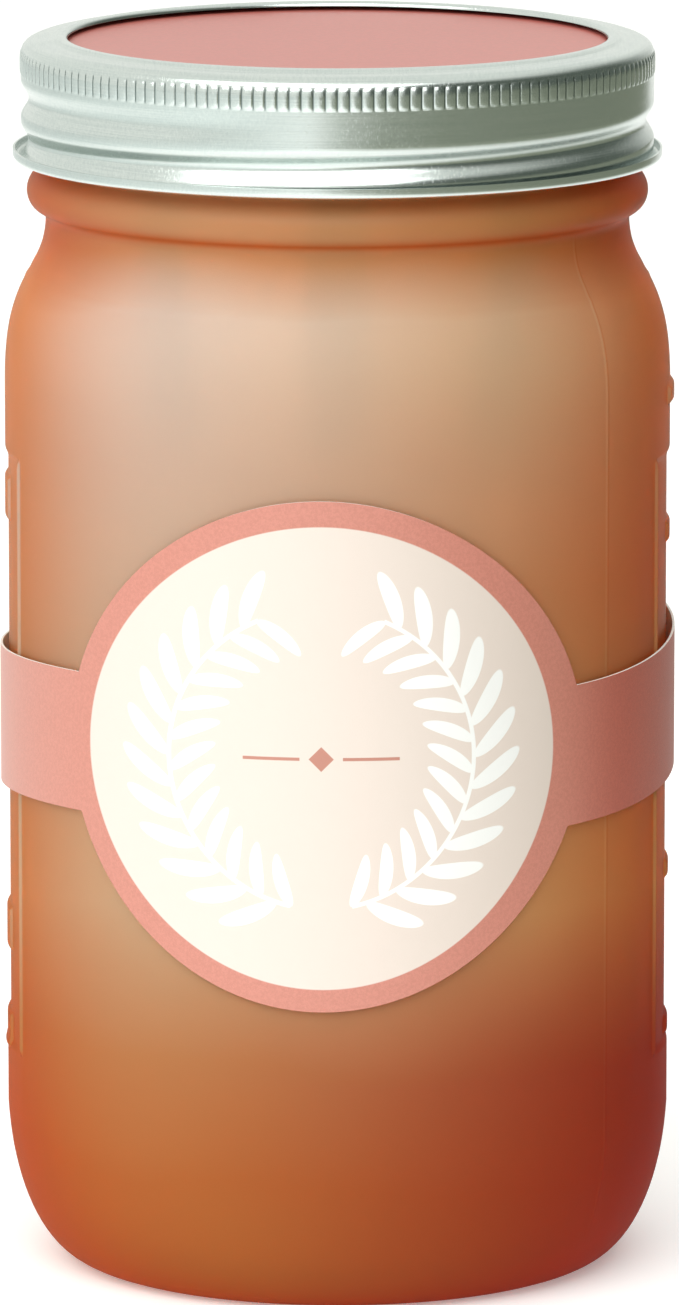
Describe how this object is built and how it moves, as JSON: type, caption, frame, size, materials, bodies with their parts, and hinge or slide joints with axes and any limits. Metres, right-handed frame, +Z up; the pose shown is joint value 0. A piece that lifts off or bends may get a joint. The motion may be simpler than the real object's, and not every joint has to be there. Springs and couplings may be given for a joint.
{
  "type": "hydroponic grow kit jar",
  "caption": "Frosted wide-mouth glass jar with a lacquered disc lid, screw band and wrap-round card label, holding a net pot, growing medium, wick and packets.",
  "frame": {"origin": "on the ground under the centre of the jar", "axes": "+Z up along the jar's axis, -Y towards the round face of the label, +X to the right when looking at that face"},
  "size_m": [0.0976, 0.0981, 0.1782],
  "materials": {
    "frosted_glass": "satin frosted, tinted from pale tan to orange brown",
    "tinplate": "bright tinplate",
    "pink_lacquer": "dusty pink matt lacquer",
    "seal_rubber": "pale matt",
    "label_card": "uncoated card, dusty pink round a cream face",
    "natural_plastic": "natural off-white",
    "coir": "pressed coir fibre",
    "felt": "white felt",
    "packet_paper": "plain uncoated paper",
    "sachet_film": "plain satin film"
  },
  "bodies": {
    "jar": {"glass_jar": "frosted_glass", "label_band": "label_card", "net_pot": "natural_plastic", "growing_medium": "coir", "wick": "felt", "seed_packet": "packet_paper", "plant_food_sachet": "sachet_film"},
    "lid": {"lid_disc": "pink_lacquer", "lid_seal": "seal_rubber"},
    "band": {"screw_band": "tinplate"}
  },
  "joints": [
    {"name": "lid_lift", "type": "slide", "parent": "jar", "child": "lid", "axis": [0, 0, 1], "range_m": [0, 0.0061]},
    {"name": "band_turn", "type": "hinge", "parent": "lid", "child": "band", "pos_m": [0, 0, 0.168], "axis": [0, 0, 1], "range_deg": [0, 360]}
  ],
  "couplings": [
    {"joint": "lid_lift", "follows": "band_turn", "m_per_rad": 0.00095493}
  ]
}
